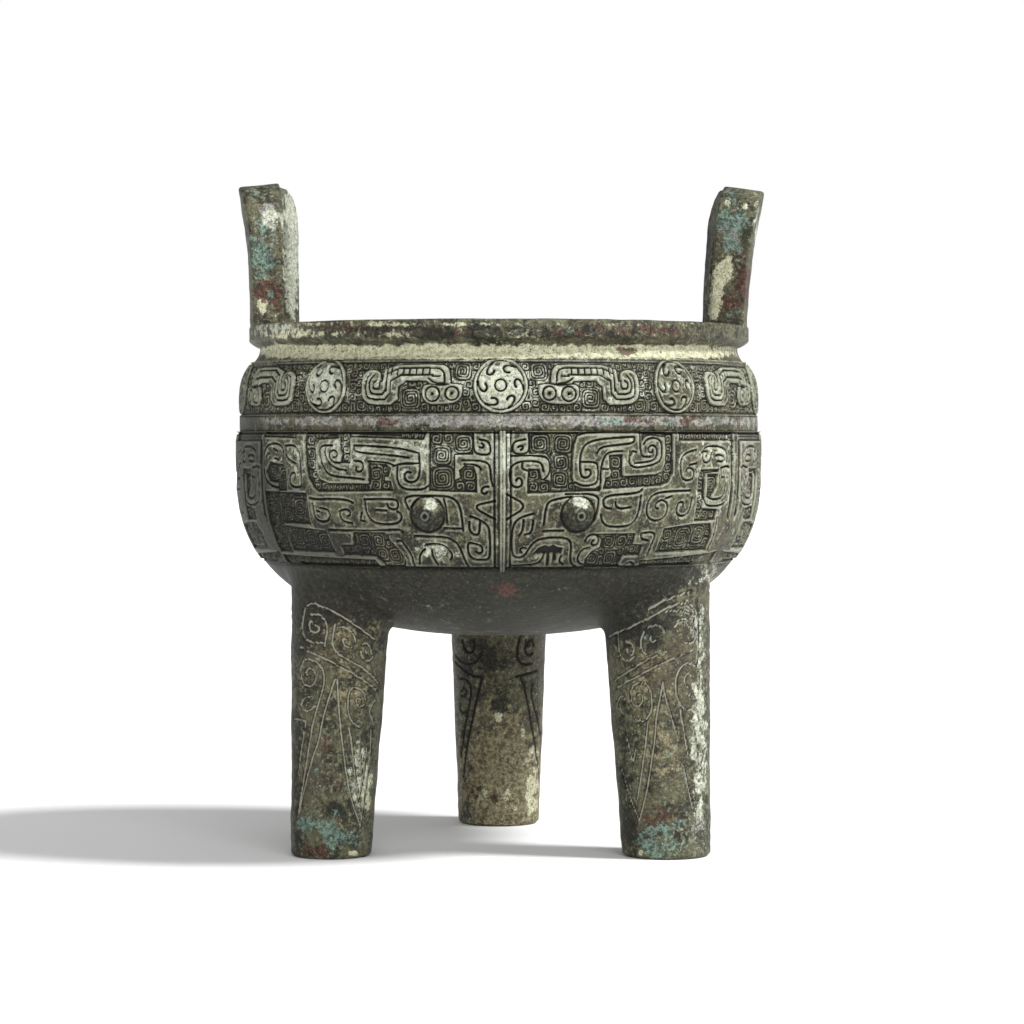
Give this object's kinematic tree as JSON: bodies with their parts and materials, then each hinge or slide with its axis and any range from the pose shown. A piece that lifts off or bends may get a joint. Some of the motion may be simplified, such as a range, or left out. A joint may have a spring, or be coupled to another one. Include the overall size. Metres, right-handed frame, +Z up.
{
  "type": "bronze tripod ding vessel",
  "caption": "Ancient cast bronze ding: a round open bowl on tapered legs, with upright loop handles on its rim and a relief of masks, dragons and whorls.",
  "frame": {"origin": "on the bowl's axis, at the level of the three soles", "axes": "+Z up along the bowl's axis; the front, with a mask between two legs, faces -Y; the handles stand at -X and +X"},
  "size_m": [0.202, 0.203, 0.2533],
  "materials": {
    "patinated_bronze": "aged, matt olive and celadon patina with black recesses, malachite and dark red spots"
  },
  "bodies": {
    "root": {"ding_vessel": "patinated_bronze"}
  },
  "joints": []
}
